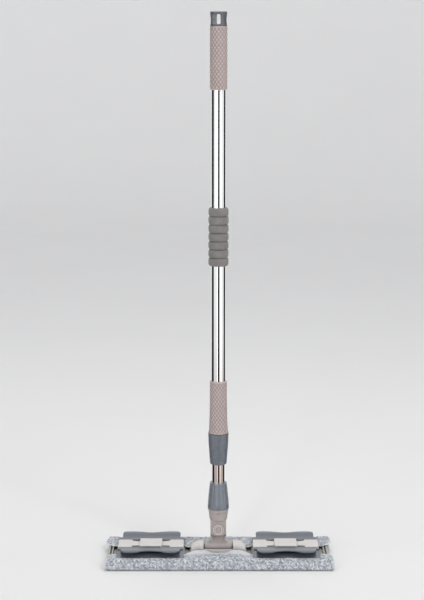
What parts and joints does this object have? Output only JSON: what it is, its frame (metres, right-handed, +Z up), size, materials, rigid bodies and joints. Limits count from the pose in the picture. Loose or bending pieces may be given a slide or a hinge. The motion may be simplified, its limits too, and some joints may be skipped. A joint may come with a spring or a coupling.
{
  "type": "flat mop",
  "caption": "Flat floor mop: looped cloth clamped round a long plate, two-axis pivot and telescopic steel pole with moulded grips and a hang cap.",
  "frame": {"origin": "on the floor, under the middle of the plate", "axes": "+X along the plate to the right, +Y to the back, +Z up the pole"},
  "size_m": [0.456, 0.144, 1.098],
  "materials": {
    "cloth": "looped pile",
    "pad_foam": "matt foam",
    "plate_plastic": "moulded, satin",
    "housing_plastic": "moulded, satin",
    "jaw_plastic": "moulded, satin",
    "fork_plastic": "moulded, satin",
    "cap_plastic": "moulded, satin",
    "grip_rubber": "patterned soft grip",
    "foam_sleeve": "matt foam",
    "polished_steel": "polished",
    "plain_steel": "plain",
    "nylon": "moulded"
  },
  "bodies": {
    "head": {"mop_cloth": "cloth", "foam_pad": "pad_foam", "base_plate": "plate_plastic", "pivot_bracket": "housing_plastic", "bracket_screws": "plain_steel", "hinge_rod": "plain_steel", "thrust_washers": "nylon", "left_clip_beam": "housing_plastic", "left_clip_screws": "plain_steel", "left_front_pin": "plain_steel", "left_rear_pin": "plain_steel", "left_front_springs": "plain_steel", "left_rear_springs": "plain_steel", "right_clip_beam": "housing_plastic", "right_clip_screws": "plain_steel", "right_front_pin": "plain_steel", "right_rear_pin": "plain_steel", "right_front_springs": "plain_steel", "right_rear_springs": "plain_steel"},
    "pivot_yoke": {"yoke": "fork_plastic"},
    "fork": {"connector": "fork_plastic", "knuckle_pin": "plain_steel", "pin_cap_front": "fork_plastic", "pin_cap_rear": "fork_plastic", "lower_tube": "polished_steel", "guide_bush": "nylon"},
    "clamp_nut": {"tube_nut": "cap_plastic"},
    "lock_collet": {"collet": "nylon"},
    "handle": {"lock_body": "nylon", "lower_grip": "grip_rubber", "upper_tube": "polished_steel", "foam_grip": "foam_sleeve", "upper_grip": "grip_rubber", "hang_cap": "cap_plastic"},
    "lock_collar": {"twist_collar": "cap_plastic"},
    "left_front_clamp": {"left_front_jaw": "jaw_plastic"},
    "left_rear_clamp": {"left_rear_jaw": "jaw_plastic"},
    "right_front_clamp": {"right_front_jaw": "jaw_plastic"},
    "right_rear_clamp": {"right_rear_jaw": "jaw_plastic"}
  },
  "joints": [
    {"name": "head_tilt", "type": "hinge", "parent": "head", "child": "pivot_yoke", "pos_m": [0, 0, 0.0286], "axis": [1, 0, 0], "range_deg": [-70, 70]},
    {"name": "side_swing", "type": "hinge", "parent": "pivot_yoke", "child": "fork", "pos_m": [0, 0, 0.066], "axis": [0, 1, 0], "range_deg": [-60, 60]},
    {"name": "nut_turn", "type": "hinge", "parent": "fork", "child": "clamp_nut", "pos_m": [0, 0, 0.13], "axis": [0, 0, 1], "range_deg": [0, 120]},
    {"name": "pole_slide", "type": "slide", "parent": "fork", "child": "lock_collet", "axis": [0, 0, 1], "range_m": [-0.034, 0.4]},
    {"name": "handle_turn", "type": "hinge", "parent": "lock_collet", "child": "handle", "pos_m": [0, 0, 0.24], "axis": [0, 0, 1], "continuous": true},
    {"name": "collar_turn", "type": "hinge", "parent": "handle", "child": "lock_collar", "pos_m": [0, 0, 0.24], "axis": [0, 0, 1], "range_deg": [0, 120]},
    {"name": "left_front_jaw_open", "type": "hinge", "parent": "head", "child": "left_front_clamp", "pos_m": [-0.137, -0.0187, 0.031], "axis": [1, 0, 0], "range_deg": [-50, 0], "stiffness_Nm_per_rad": 0.12, "springref_deg": 51.57},
    {"name": "left_rear_jaw_open", "type": "hinge", "parent": "head", "child": "left_rear_clamp", "pos_m": [-0.137, 0.0187, 0.031], "axis": [1, 0, 0], "range_deg": [0, 50], "stiffness_Nm_per_rad": 0.12, "springref_deg": -51.57},
    {"name": "right_front_jaw_open", "type": "hinge", "parent": "head", "child": "right_front_clamp", "pos_m": [0.137, -0.0187, 0.031], "axis": [1, 0, 0], "range_deg": [-50, 0], "stiffness_Nm_per_rad": 0.12, "springref_deg": 51.57},
    {"name": "right_rear_jaw_open", "type": "hinge", "parent": "head", "child": "right_rear_clamp", "pos_m": [0.137, 0.0187, 0.031], "axis": [1, 0, 0], "range_deg": [0, 50], "stiffness_Nm_per_rad": 0.12, "springref_deg": -51.57}
  ]
}
